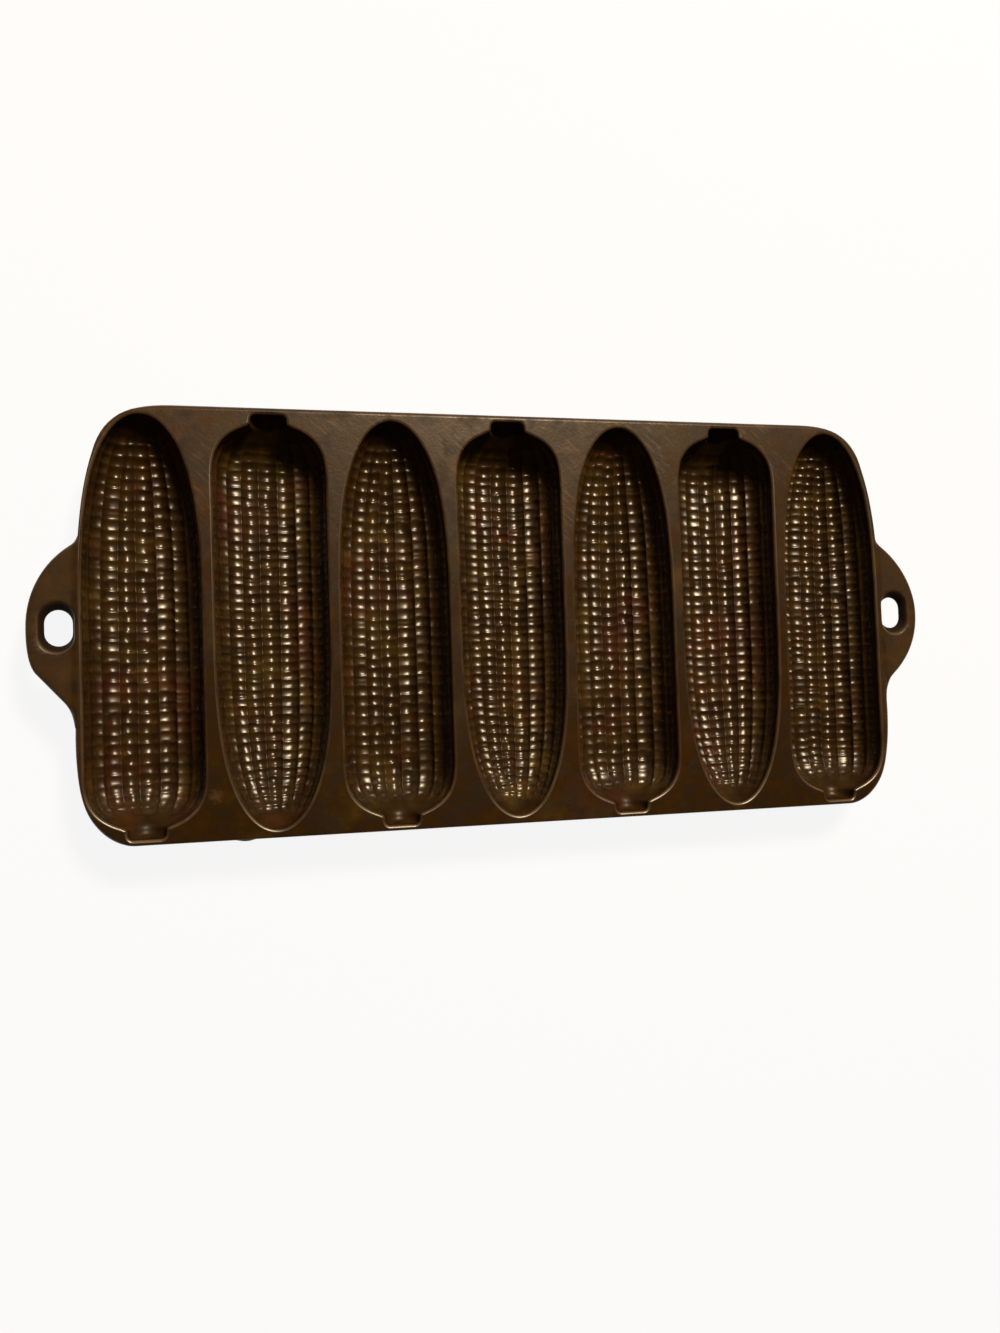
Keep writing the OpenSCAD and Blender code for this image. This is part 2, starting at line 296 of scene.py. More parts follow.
    def point(self, s, angle, deeper, share=1.0):
        """A point on the cavity. Its top is at the foot of the lip's rounding"""
        reach = (self.depth(s) * (1 - self.sizes.lip / self.sizes.depth) + deeper) * share
        return Vector((
            (self.half_width(s) + deeper) * math.sin(angle),
            self.tip_y - s,
            self.rim_z - reach * math.cos(angle),
        ))


class KernelPattern:
    """How one cob's kernels wander, differ in size, and split"""

    SIZES = (0.72, 1.15)
    SIDE_LEAN = 0.24
    END_LEAN = 0.28
    SPLIT_SHARE = 0.07
    SPLIT_DEPTH = 0.7
    SPLIT_WIDTH = 0.25
    MISRUN_SHARE = 0.08
    MISRUN_SIZE = 0.6
    WAVE_LENGTH = 17 * MM
    WAVE_STEPS = (3.7, 5.1)
    WAVE_SHARE = 1.3
    SLIP_SHARE = 0.8
    SLIP_FADES = (9 * MM, 5 * MM)
    SLIP_OVERRUNS = (2 * MM, 1 * MM)
    TROUGH_SOFTNESS = 0.05
    TROUGH_POWER = 0.80
    FLANK_SHARE = 0.6
    TIP_BOOST = 1.5

    def __init__(self, form):
        draw = random.Random(400 + form.number)
        self.form = form
        columns, rows = form.kernels.columns, form.rows
        self.slip = [draw.uniform(-1, 1) for _ in range(columns)]
        side, end = self.SIDE_LEAN, self.END_LEAN
        self.size = [[draw.uniform(*self.SIZES) for _ in range(columns)] for _ in range(rows)]
        self.lean = [[(draw.uniform(-side, side), draw.uniform(-end, end)) for _ in range(columns)]
                     for _ in range(rows)]
        self.split = [[draw.random() < self.SPLIT_SHARE for _ in range(columns)] for _ in range(rows)]
        for row in self.size:
            for column in range(columns):
                if draw.random() < self.MISRUN_SHARE:
                    row[column] *= self.MISRUN_SIZE

    def column_slip(self, column, s):
        column_step, cob_step = self.WAVE_STEPS
        wave = noise.noise(Vector((s / self.WAVE_LENGTH, column * column_step, self.form.number * cob_step)))
        return self.form.kernels.wander * (self.SLIP_SHARE * self.slip[column] + self.WAVE_SHARE * wave)

    def slipped(self, s, column, place):
        """s moved by the slip of its column, or by the mean of two columns on the ridge between them"""
        form = self.form
        last = form.kernels.columns - 1
        if column is None:
            return s
        here = self.column_slip(min(column, last), s)
        if place == -1:
            here = (here + self.column_slip(max(column - 1, 0), s)) / 2
        near_tip, near_stalk = self.SLIP_OVERRUNS
        last_kernel = form.sizes.length - form.KERNELS_FROM_STALK
        ends = smooth_step(0, self.SLIP_FADES[0], s - form.KERNELS_FROM_TIP + near_tip)
        ends *= smooth_step(0, self.SLIP_FADES[1], last_kernel + near_stalk - s)
        return s + here * ends

    @classmethod
    def trough(cls, place, lean):
        """Depth across a column, from 0 at its ridges to 1: steep flanks that meet in a rounded bottom"""
        moved = place + lean * (1 - place * place)
        soft, power = cls.TROUGH_SOFTNESS, cls.TROUGH_POWER
        return 1 - ((moved * moved + soft) ** power - soft ** power) / ((1 + soft) ** power - soft ** power)

    @staticmethod
    def bowl(place, lean):
        """Depth along a kernel, from 0 at its ridges to 1"""
        moved = place + lean * (1 - place * place)
        return max(0, 1 - moved * moved)

    def fade(self, s, lengths):
        """Share of the dimples' depth near the tip and near the stalk"""
        form = self.form
        from_stalk = form.sizes.length - s - form.KERNELS_FROM_STALK
        share = smooth_step(0, lengths[0], s - form.KERNELS_FROM_TIP + form.row_pitch)
        return share * smooth_step(-1 * MM, lengths[1], from_stalk)

    def dimple(self, s, column, across, row, along, angle):
        """Depth of the dimple at a vertex, and a mask that is 1 in its middle"""
        form = self.form
        if column is None or column == form.kernels.columns or row is None or row == form.rows:
            return 0.0, 0.0
        lean = self.lean[row][column]
        over = self.trough(across, lean[0])
        bed = self.bowl(along, lean[1])
        if self.split[row][column]:
            bed *= 1 - self.SPLIT_DEPTH * math.exp(-(along / self.SPLIT_WIDTH) ** 2)
        column_fade, row_fade = (self.fade(s, fades) for fades in (form.COLUMN_FADES, form.ROW_FADES))
        narrow = 2 * form.half_width(s) / form.sizes.width
        rise = math.sqrt(math.cos(math.radians(angle)))
        if (row == 0 and along < 0) or (row == form.rows - 1 and along > 0):
            over *= bed
        column_part = form.kernels.column_depth * narrow * over * column_fade
        row_part = form.kernels.row_depth * bed * self.size[row][column] * row_fade
        row_part *= turn_mix(self.FLANK_SHARE, 1, over) * (1 + self.TIP_BOOST * (1 - narrow))
        return (column_part + row_part) * rise, over * (0.5 + 0.5 * bed) * row_fade


DIPS = ((21 * MM, 1.7, 0.38), (6.5 * MM, 8.3, 0.12))
MEAN_DIP = 0.5


def dip(x, y, depth):
    """How far the cast face lies below a true plane at a place, from broad dips and close ones"""
    waves = [weight * noise.noise(Vector((x / length, y / length, layer))) for length, layer, weight in DIPS]
    return depth * (MEAN_DIP + waves[0] + waves[1])


def settle_face(bm, depth):
    """Makes the upper faces slightly uneven, the same way in each piece, so that borders still meet"""
    thick = PLATE_HIGH.z - PLATE_LOW.z
    for vert in bm.verts:
        rise = min(max((vert.co.z - PLATE_LOW.z) / thick, 0), 1)
        if rise > 0:
            vert.co.z -= rise * dip(vert.co.x, vert.co.y, depth)


def plan_normals(points):
    """Unit vectors out of a closed loop of points, seen from above"""
    count = len(points)
    area = sum(points[i - 1].x * points[i].y - points[i].x * points[i - 1].y for i in range(count))
    side = 1 if area > 0 else -1
    normals = []
    for i in range(count):
        run = points[(i + 1) % count] - points[i - 1]
        normals.append(Vector((run.y, -run.x, 0)).normalized() * side)
    return normals


def grown(points, normals, distance, z):
    """A loop moved out sideways and set at a height. Both may differ from point to point"""
    count = len(points)
    reach = distance if isinstance(distance, list) else [distance] * count
    level = z if isinstance(z, list) else [z] * count
    return [Vector((p.x + n.x * d, p.y + n.y * d, h)) for p, n, d, h in zip(points, normals, reach, level)]


def first_ring(bm, points):
    """A closed loop of new vertices and edges"""
    ring = [bm.verts.new(p) for p in points]
    for i, vert in enumerate(ring):
        bm.edges.new((ring[i - 1], vert))
    return ring


def ring_edges(bm, ring):
    return [bm.edges.get((ring[i - 1], vert)) for i, vert in enumerate(ring)]


def next_ring(bm, ring, points):
    """Extrudes a loop of vertices to new points, and gives the new loop in the same order"""
    made = bmesh.ops.extrude_edge_only(bm, edges=ring_edges(bm, ring))["geom"]
    fresh = {item for item in made if isinstance(item, bmesh.types.BMVert)}
    new_ring = [next(e.other_vert(v) for e in v.link_edges if e.other_vert(v) in fresh) for v in ring]
    for vert, point in zip(new_ring, points):
        vert.co = point
    return new_ring


def fill_rings(bm, *rings):
    """Fills the space inside the first ring and outside the others"""
    edges = [edge for ring in rings for edge in ring_edges(bm, ring)]
    return bmesh.ops.triangle_fill(bm, use_beauty=True, use_dissolve=False, edges=edges)


def sharpen(bm, ring):
    for edge in ring_edges(bm, ring):
        edge.smooth = False


LEAST_SIDE = 0.0001 * MM


def cut_in_cells(bm, low, high, step):
    """Cuts a mesh along lines of X and Y, so that its faces can bend, and drops slivers without area"""
    for axis in (0, 1):
        normal = Vector((1 - axis, axis, 0))
        count = int((high[axis] - low[axis]) / step)
        for k in range(1, count + 1):
            place = normal * (low[axis] + k * step)
            geometry = bm.verts[:] + bm.edges[:] + bm.faces[:]
            bmesh.ops.bisect_plane(bm, geom=geometry, plane_co=place, plane_no=normal, dist=0.02 * MM)
    bmesh.ops.dissolve_degenerate(bm, dist=LEAST_SIDE, edges=bm.edges[:])


def curve(p, steps):
    """Points along a cubic curve from p[0] towards p[3], without the last"""
    points = []
    for k in range(steps):
        t = k / steps
        weights = ((1 - t) ** 3, 3 * t * (1 - t) ** 2, 3 * t * t * (1 - t), t ** 3)
        points.append(Vector((
            sum(w * q[0] for w, q in zip(weights, p)) * MM,
            sum(w * q[1] for w, q in zip(weights, p)) * MM,
            0,
        )))
    return points


def chain(start, *runs):
    """Cubic curves joined end to end. Each run is its steps, its two handles and its end"""
    points = []
    for steps, first, second, end in runs:
        points += curve((start, first, second, end), steps)
        start = end
    return points


def finish_piece(bm, name, material, nodes):
    """Turns a closed bmesh into an object that rides on the casting and stands for its nodes"""
    bmesh.ops.recalc_face_normals(bm, faces=bm.faces[:])
    if bm.calc_volume(signed=True) < 0:
        bmesh.ops.reverse_faces(bm, faces=bm.faces[:])
    mesh = bpy.data.meshes.new(name)
    for face in bm.faces:
        face.smooth = True
    bm.to_mesh(mesh)
    bm.free()
    piece = bpy.data.objects.new(name, mesh)
    bpy.context.scene.collection.objects.link(piece)
    mesh.materials.append(material)
    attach(piece, "root")
    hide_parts(*nodes)
    return piece


def cob_place(number):
    """Middle of a cob in X, and 1 where its tip points to +Y or -1 where to -Y"""
    low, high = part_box(f"cob_mould_{number}")
    return (low.x + high.x) / 2, 1 if number % 2 else -1


def placed(points, number):
    """Points of the drawn cob, moved to where a cob of the pan is"""
    middle, way = cob_place(number)
    return [Vector((middle + way * p.x, way * p.y, p.z)) for p in points]


def cavity_rim(form):
    """The rim of the drawn cavity, from the tip along the left side, the stalk's end and back"""
    stations = form.along[1:form.wall_station + 1]
    left = [form.point(s, math.radians(-90), 0) for s, _, _, _ in stations]
    end = [form.point(form.sizes.length, math.radians(angle), 0, 0) for angle, _, _ in form.across[1:-1]]
    right = [Vector((-p.x, p.y, p.z)) for p in reversed(left)]
    return [form.point(0, 0, 0)] + left + end + right


class Keel:
    """The outside of a mould under the plate"""

    TIP_Y = 30 * MM
    STALK_Y = -48 * MM
    NECK_Y = -68 * MM
    ANGLE = math.radians(72.5)
    TIP_RISE = 1.8
    STALK_RISE = 1.2
    NECK_RISE = 4.0
    RINGS = 12
    HALF_ROOM = 21.4 * MM
    END_ROOM = 73.9 * MM
    EDGE_ROOM = 0.3 * MM
    FILLET = ((2.6, 0.02), (2.1, 0.25), (1.8, 0.7))

    @classmethod
    def drawn_in(cls, y, angle):
        """Y of a point that the keel's ends are drawn in to"""
        turn = math.cos(angle)
        if y > cls.TIP_Y:
            return cls.TIP_Y + (y - cls.TIP_Y) * turn ** cls.TIP_RISE
        if y > cls.STALK_Y:
            return y
        stalk = cls.STALK_Y + (max(y, cls.NECK_Y) - cls.STALK_Y) * turn ** cls.STALK_RISE
        return stalk + min(y - cls.NECK_Y, 0) * turn ** cls.NECK_RISE

    @classmethod
    def kept_in(cls, points, number):
        """Keeps a loop of the drawn cob clear of the next mould and of the plate's edge"""
        middle, way = cob_place(number)
        kept = []
        for p in points:
            y = min(max(p.y, -cls.END_ROOM), cls.END_ROOM)
            x = middle + way * min(max(p.x, -cls.HALF_ROOM), cls.HALF_ROOM)
            room = side_x(way * y) - cls.EDGE_ROOM
            x = min(max(x, -room), room)
            kept.append(Vector(((x - middle) * way, y, p.z)))
        return kept


EASE_ROUNDS = 6


def eased(values):
    """A closed loop of points or numbers with its tight turns eased"""
    count = len(values)
    for _ in range(EASE_ROUNDS):
        values = [(values[i - 1] + 2 * values[i] + values[(i + 1) % count]) / 4 for i in range(count)]
    return values


def model_cavity(bm, form, pattern, layers):
    """Bends a grid into the cavity with its dimples, and gives the ring of vertices at its rim"""
    across, along = form.across, form.along
    wide, tall = len(across) - 1, len(along) - 1
    bmesh.ops.create_grid(bm, x_segments=wide, y_segments=tall, size=0.5)
    grid = {}
    for vert in bm.verts:
        column_line = round((vert.co.x + 0.5) * wide)
        station = tall - round((vert.co.y + 0.5) * tall)
        grid[column_line, station] = vert
        angle, column, over = across[column_line]
        s, row, bed, share = along[station]
        deep, middle = pattern.dimple(s, column, over, row, bed, angle)
        moved = pattern.slipped(s, column, over) if row is not None else s
        vert.co = form.point(moved, math.radians(angle), deep, share)
        below = form.rim_z - vert.co.z
        vert[layers["cup"]] = smooth_step(*form.CUP_EDGE, below)
        vert[layers["kernel"]] = middle
    pole = grid[0, 0]
    weld = {grid[k, 0]: pole for k in range(1, wide + 1)}
    last = form.wall_station
    for side in (0, wide):
        weld.update({grid[side, k]: grid[side, last] for k in range(last + 1, tall + 1)})
    bmesh.ops.weld_verts(bm, targetmap=weld)
    left = [grid[0, k] for k in range(1, last + 1)]
    end = [grid[k, tall] for k in range(1, wide)]
    right = [grid[wide, k] for k in range(last, 0, -1)]
    return [pole] + left + end + right


def model_mould(number, sizes, kernels, plate):
    """One closed mould: cavity, lip, flange in the plate, and the wall and keel under it"""
    form = CobForm(sizes, kernels, number)
    bm = bmesh.new()
    layers = {name: bm.verts.layers.float.new(name) for name in ("cup", "kernel", "lip", "wear_and_glint")}
    ring = model_cavity(bm, form, KernelPattern(form), layers)
    rim = cavity_rim(form)
    normals = plan_normals(rim)
    lip = sizes.lip
    _, way = cob_place(number)
    for k in range(1, form.LIP_STEPS + 1):
        turn = math.radians(90 * k / form.LIP_STEPS)
        out, up = lip * (1 - math.cos(turn)), lip * math.sin(turn)
        ring = next_ring(bm, ring, grown(rim, normals, out, form.rim_z + up))
        for vert, normal in zip(ring, normals):
            # front is 1 on lips facing the lamp: their pale worn colour is partly a painted highlight.
            front = max(0, -way * normal.y)
            vert[layers["lip"]] = turn_mix(*form.LIP_SHINE, front)
            vert[layers["wear_and_glint"]] = turn_mix(*form.LIP_WEAR_AND_GLINT, front) * math.sin(2 * turn)
    sharpen(bm, ring)
    ring = next_ring(bm, ring, grown(rim, normals, lip, PLATE_LOW.z))
    for vert in ring:
        vert[layers["lip"]] = 0.0
    for reach, below in Keel.FILLET:
        loop = eased(grown(rim, normals, reach * MM, PLATE_LOW.z - below * MM))
        ring = next_ring(bm, ring, Keel.kept_in(loop, number))
    hull = Keel.kept_in(eased(grown(rim, normals, sizes.wall, 0)), number)
    for k in range(1, Keel.RINGS + 1):
        angle = Keel.ANGLE * k / Keel.RINGS
        z = PLATE_LOW.z * (1 - math.sin(angle) / math.sin(Keel.ANGLE))
        ring = next_ring(bm, ring, [
            Vector((p.x * math.cos(angle), Keel.drawn_in(p.y, angle), z)) for p in hull
        ])
    sharpen(bm, ring)
    bmesh.ops.edgeloop_fill(bm, edges=ring_edges(bm, ring))
    for vert, point in zip(bm.verts, placed([v.co for v in bm.verts], number)):
        vert.co = point
    settle_face(bm, plate.unevenness)
    return bm


CORNER_STEPS = 14
FLANK_STEPS = 12
EDGE_STEPS = 6
UNDER_STEPS = 3
EDGE_WEAR = 0.2
PLATE_CELL = 5 * MM


def plate_side():
    """The right half of the plate's outline: the corner round a tip is drawn out, the side widens from
    there, and the corner round a stalk is full"""
    half, back, front = PLATE_HIGH.x / MM, PLATE_HIGH.y / MM, PLATE_LOW.y / MM
    right = chain(
        (half - 33, back),
        (CORNER_STEPS, (half - 18.6, back), (half - 10, back - 4.4), (half - 6.9, back - 17)),
        (FLANK_STEPS, (half - 3.5, back - 28), (half - 1.5, back - 43), (half - 1, back - 65)),
        (FLANK_STEPS, (half - 0.7, back - 78), (half - 0.3, back - 99), (half, front + 36.3)),
        (FLANK_STEPS, (half, front + 26.3), (half - 1, front + 15.6), (half - 4.3, front + 9.6)),
        (CORNER_STEPS, (half - 7.3, front + 4.2), (half - 12.5, front), (half - 18.5, front)),
    )
    return right + [Vector(((half - 18.5) * MM, front * MM, 0))]


PLATE_SIDE = plate_side()


def side_x(y):
    """Half length of the plate at y"""
    for high, low in zip(PLATE_SIDE, PLATE_SIDE[1:]):
        if low.y <= y <= high.y and high.y > low.y:
            return turn_mix(low.x, high.x, (y - low.y) / (high.y - low.y))
    return PLATE_SIDE[0].x if y > 0 else PLATE_SIDE[-1].x


def plate_outline():
    return PLATE_SIDE + [Vector((-p.x, p.y, 0)) for p in reversed(PLATE_SIDE)]


def openings(sizes, kernels):
    """The openings in the plate's face, one for each mould"""
    loops = []
    for number in range(1, len(MOULD_NODES) + 1):
        rim = cavity_rim(CobForm(sizes, kernels, number))
        loops.append(placed(grown(rim, plan_normals(rim), sizes.lip, PLATE_HIGH.z), number))
    return loops


def edge_radii(outline, loops, widest):
    """How far the plate's upper edge is rounded at each point: less where an opening is near"""
    gap = 0.1 * MM
    near = []
    for p in outline:
        room = min((p.x - q.x) ** 2 + (p.y - q.y) ** 2 for loop in loops for q in loop)
        near.append(min(widest, math.sqrt(room) - gap))
    return [max(min(r, limit), gap) for r, limit in zip(eased(near), near)]


def round_over(bm, ring, outline, normals, top, radii, layer):
    """Rolls a loop that lies inside an outline by its radii over and down to it"""
    for k in range(1, EDGE_STEPS + 1):
        turn = math.radians(90 * k / EDGE_STEPS)
        out = [-r * (1 - math.sin(turn)) for r in radii]
        level = [top - r * (1 - math.cos(turn)) for r in radii]
        ring = next_ring(bm, ring, grown(outline, normals, out, level))
        for vert in ring:
            vert[layer] = EDGE_WEAR * math.sin(2 * turn)
    return ring


def round_under(bm, ring, outline, normals, bottom, radius):
    """Rolls a loop under, from a wall to the lower face"""
    for k in range(UNDER_STEPS + 1):
        turn = math.radians(90 * k / UNDER_STEPS)
        out, up = -radius * (1 - math.cos(turn)), radius * (1 - math.sin(turn))
        ring = next_ring(bm, ring, grown(outline, normals, out, bottom + up))
    return ring


def model_plate(sizes, kernels, plate):
    """The plate with its rounded rim and the seven openings that the moulds fill"""
    bm = bmesh.new()
    wear_and_glint = bm.verts.layers.float.new("wear_and_glint")
    outline = plate_outline()
    normals = plan_normals(outline)
    loops = openings(sizes, kernels)
    radii = edge_radii(outline, loops, plate.edge_round)
    top = first_ring(bm, grown(outline, normals, [-r for r in radii], PLATE_HIGH.z))
    holes = [first_ring(bm, loop) for loop in loops]
    fill_rings(bm, top, *holes)
    side = round_over(bm, top, outline, normals, PLATE_HIGH.z, radii, wear_and_glint)
    low = round_under(bm, side, outline, normals, PLATE_LOW.z, plate.under_round)
    low_holes = []
    for hole in holes:
        sharpen(bm, hole)
        low_hole = next_ring(bm, hole, [Vector((v.co.x, v.co.y, PLATE_LOW.z)) for v in hole])
        sharpen(bm, low_hole)
        low_holes.append(low_hole)
    fill_rings(bm, low, *low_holes)
    cut_in_cells(bm, PLATE_LOW, PLATE_HIGH, PLATE_CELL)
    settle_face(bm, plate.unevenness)
    return bm


class EarShape:
    """One ear, drawn to the right: its outline, the line where it joins the plate, and its hole"""

    JOIN_POINTS = 14
    INSETS = {-1: 1.15 * MM, 1: 1.8 * MM}
    LEAST_ROUND = 0.05 * MM
    ROUND_SHARE = 0.6
    RISE_LENGTH = 2.7 * MM
    RISE_BAND = (148 * MM, 156 * MM)
    RISE_CELL = 0.8 * MM
    RISE_LEVELS = (1 * MM, 1.2 * MM)
    MOUTH_RINGS = 3
    # The hole's walls below these rings get painted shade.
    HOLE_SHADE_RINGS = (1, 4)
    # Hole mouths get the worn colour: a little real wear all round, and a painted highlight on the side that
    # faces the lamp.
    HOLE_WEAR_AND_GLINT = (0.15, 0.9)
    GLINT_WAY = (-0.6, -0.8)
    HOLE_STEPS = ((1.1, 0.0), (1.0, 0.13), (0.88, 0.42), (0.70, 0.9), (0.5, 1.5), (0.3, 2.2), (0.12, 2.8),
                  (0.0, 3.3), (0.02, 3.8), (0.1, 4.2))

    def __init__(self, side, plate):
        self.plate = plate
        self.inset = self.INSETS[side]
        end = EAR_HIGH.x / MM
        if side > 0:
            points = chain(
                (148, 36),
                (10, (148.8, 31.5), (149.9, 28.8), (152.9, 26.6)),
                (18, (160.2, 21), (end, 11), (end, 0)),
                (18, (end, -8.5), (163.6, -17), (155.6, -24)),
                (10, (153.4, -26), (152.3, -28.5), (151.2, -36)),
            )
            self.throat, self.mouth, self.mouth_size = (156.4, 0.7), (156.4, 0.5), (11.6, 17.6)
        else:
            points = chain(
                (148.2, 35),
                (10, (149.4, 30.2), (150.3, 28), (152.8, 26.5)),
                (18, (159.8, 21.8), (end, 12.5), (end, -1)),
                (10, (end, -8), (166, -13.2), (163.8, -16)),
                (6, (161, -19.1), (158.2, -22.3), (155.4, -25.4)),
                (10, (153.4, -27.6), (152.2, -30), (151.4, -36)),
            )
            self.throat, self.mouth, self.mouth_size = (156.7, -0.8), (157.1, -0.7), (12.0, 17.8)
        free = [p for p in points if p.x > self.join_x(p.y) + 0.1 * MM]
        levels = [turn_mix(free[-1].y, free[0].y, k / self.JOIN_POINTS) for k in range(self.JOIN_POINTS + 1)]
        self.outline = free + [Vector((self.join_x(y), y, 0)) for y in levels]

    def join_x(self, y):
        """The ear begins under the rounding of the plate's edge"""
        return side_x(y) - self.inset

    def hole(self, share, below):
        """A loop of the hanging hole, from its mouth at share 1 to its throat at share 0"""
        plate = self.plate
        width = turn_mix(plate.hole_width, self.mouth_size[0] * MM, share)
        length = turn_mix(plate.hole_length, self.mouth_size[1] * MM, share)
        middle = [turn_mix(a, b, share) * MM for a, b in zip(self.throat, self.mouth)]
        return oblong(width, length, EAR_HIGH.z - below, middle)

    def rise(self, x, y):
        """How far the ear's face climbs to the plate's face"""
        step = PLATE_HIGH.z - EAR_HIGH.z
        return step * (1 - smooth_step(0.2 * MM, self.RISE_LENGTH, x - self.join_x(y)))


def oblong(width, length, z, middle):
    """A loop with straight sides and round ends"""
    steps = 12
    points = []
    for end in (0, 1):
        for k in range(steps + 1):
            turn = math.pi * (end + k / steps)
            y = (1 if end == 0 else -1) * (length - width) / 2
            points.append(Vector((
                middle[0] + width / 2 * math.cos(turn), middle[1] + y + width / 2 * math.sin(turn), z
            )))
    return points


def model_ear(side, plate):
    """One ear with rounded edges and a hanging hole that widens to its upper face"""
    bm = bmesh.new()
    wear_and_glint = bm.verts.layers.float.new("wear_and_glint")
    hollow = bm.verts.layers.float.new("hollow")
    shape = EarShape(side, plate)
    outline = shape.outline
    normals = plan_normals(outline)
    top_z, low_z = EAR_HIGH.z, EAR_LOW.z
    radii = [min(plate.ear_round, max(shape.LEAST_ROUND, (p.x - shape.join_x(p.y)) * shape.ROUND_SHARE))
             for p in outline]
    top = first_ring(bm, grown(outline, normals, [-r for r in radii], top_z))
    scale = (top_z - low_z) / (shape.HOLE_STEPS[-1][1] * MM)
    loops = [shape.hole(share, below * MM * scale) for share, below in shape.HOLE_STEPS]
    hole = first_ring(bm, loops[0])
    fill_rings(bm, top, hole)
    for number, loop in enumerate(loops[1:], 1):
        hole = next_ring(bm, hole, loop)
        for vert, normal in zip(hole, plan_normals(loop)):
            towards = max(0, shape.GLINT_WAY[0] * side * normal.x + shape.GLINT_WAY[1] * normal.y)
            vert[wear_and_glint] = turn_mix(*shape.HOLE_WEAR_AND_GLINT, towards) if number < shape.MOUTH_RINGS else 0.0
            # hollow marks the hole's walls, which get painted shade.
            vert[hollow] = smooth_step(*shape.HOLE_SHADE_RINGS, number)
    edge = round_over(bm, top, outline, normals, top_z, radii, wear_and_glint)
    low = round_under(bm, edge, outline, normals, low_z, plate.under_round)
    fill_rings(bm, low, hole)
    near, far = shape.RISE_BAND
    cut_in_cells(bm, Vector((near, EAR_LOW.y, 0)), Vector((far, EAR_HIGH.y, 0)), shape.RISE_CELL)
    above, below = shape.RISE_LEVELS
    for vert in bm.verts:
        share = smooth_step(low_z + above, top_z - below, vert.co.z)
        vert.co.z += share * shape.rise(vert.co.x, vert.co.y)
    if side < 0:
        bmesh.ops.scale(bm, vec=(-1, 1, 1), verts=bm.verts[:])
    settle_face(bm, plate.unevenness)
    return bm


def model_gate_stub():
    """The low swelling on the front edge where the casting was broken from its gate"""
    bm = bmesh.new()
    wear_and_glint = bm.verts.layers.float.new("wear_and_glint")
    size = GATE_HIGH - GATE_LOW
    middle = (GATE_LOW.x + GATE_HIGH.x) / 2
    steps = 24
    round_steps = 12
    inside = 1.2 * MM
    rounded = 1.1 * MM
    grain = 1.6 * MM
    roughness = 0.05 * MM
    outline = []
    for k in range(steps + 1):
        share = k / steps
        swell = 0.5 - 0.5 * math.cos(2 * math.pi * share)
        outline.append(Vector((middle + size.x * (share - 0.5), GATE_HIGH.y - size.y * swell, 0)))
    outline += [Vector((x, GATE_HIGH.y + inside, 0)) for x in (GATE_HIGH.x, GATE_LOW.x)]
    for k in range(round_steps + 1):
        turn = math.radians(-90 + 180 * k / round_steps)
        tuck = rounded * (1 - math.cos(turn))
        z = (GATE_LOW.z + rounded if turn < 0 else GATE_HIGH.z - rounded) + rounded * math.sin(turn)
        loop = [Vector((p.x, min(p.y + tuck, GATE_HIGH.y + inside), z)) for p in outline]
        ring = first_ring(bm, loop) if k == 0 else next_ring(bm, ring, loop)
        if k in (0, round_steps):
            bmesh.ops.edgeloop_fill(bm, edges=ring_edges(bm, ring))
    for vert in bm.verts:
        rough = noise.noise(vert.co / grain)
        if vert.co.y < GATE_HIGH.y - 2 * roughness:
            vert.co.y += roughness * (1 + rough)
            vert[wear_and_glint] = 0.3
    return bm


def make_group(name, inputs, outputs):
    """A new shader group with named sockets, and its input and output nodes. An input's kind follows
    from its default: None for a vector, four numbers for a colour, and one for a value"""
    tree = bpy.data.node_groups.new(name, "ShaderNodeTree")
    for label, value in inputs.items():
        kind = "Vector" if value is None else "Color" if isinstance(value, tuple) else "Float"
        socket = tree.interface.new_socket(name=label, in_out="INPUT", socket_type="NodeSocket" + kind)
        if value is not None:
            socket.default_value = value
    for label, kind in outputs.items():
        tree.interface.new_socket(name=label, in_out="OUTPUT", socket_type="NodeSocket" + kind)
    return tree, tree.nodes.new("NodeGroupInput").outputs, tree.nodes.new("NodeGroupOutput").inputs


def plug(tree, source, target):
    """Links a socket to an input, or sets the input's value"""
    if isinstance(source, bpy.types.NodeSocket):
        tree.links.new(source, target)
    else:
        target.default_value = source


def fill_inputs(tree, node, values):
    """Plugs sockets or values into a node's inputs by their labels"""
    for label, value in values.items():
        plug(tree, value, node.inputs[label])


def noise_value(tree, vector, scale, detail=3.0, roughness=0.55, distortion=0.0):
    node = tree.nodes.new("ShaderNodeTexNoise")
    fill_inputs(tree, node, {"Vector": vector, "Scale": scale, "Detail": detail, "Roughness": roughness,
                             "Distortion": distortion})
    return node.outputs["Fac"]


def math_value(tree, operation, *values):
    node = tree.nodes.new("ShaderNodeMath")
    node.operation = operation
    for value, socket in zip(values, node.inputs):
        plug(tree, value, socket)
    return node.outputs["Value"]


def times(tree, first, second):
    return math_value(tree, "MULTIPLY", first, second)


def range_value(tree, value, low, high, to_low=0.0, to_high=1.0):
    node = tree.nodes.new("ShaderNodeMapRange")
    node.interpolation_type = "SMOOTHSTEP"
    fill_inputs(tree, node, {"Value": value, "From Min": low, "From Max": high, "To Min": to_low,
                             "To Max": to_high})
    return node.outputs["Result"]


def mix_colour(tree, share, first, second, blend="MIX"):
    node = tree.nodes.new("ShaderNodeMix")
    node.data_type = "RGBA"
    node.blend_type = blend
    plug(tree, share, node.inputs["Factor"])
    colours = [socket for socket in node.inputs if socket.type == "RGBA"]
    plug(tree, first, colours[0])
    plug(tree, second, colours[1])
    return next(socket for socket in node.outputs if socket.type == "RGBA")


def mix_value(tree, share, first, second):
    node = tree.nodes.new("ShaderNodeMix")
    fill_inputs(tree, node, {"Factor": share, "A": first, "B": second})
    return node.outputs["Result"]


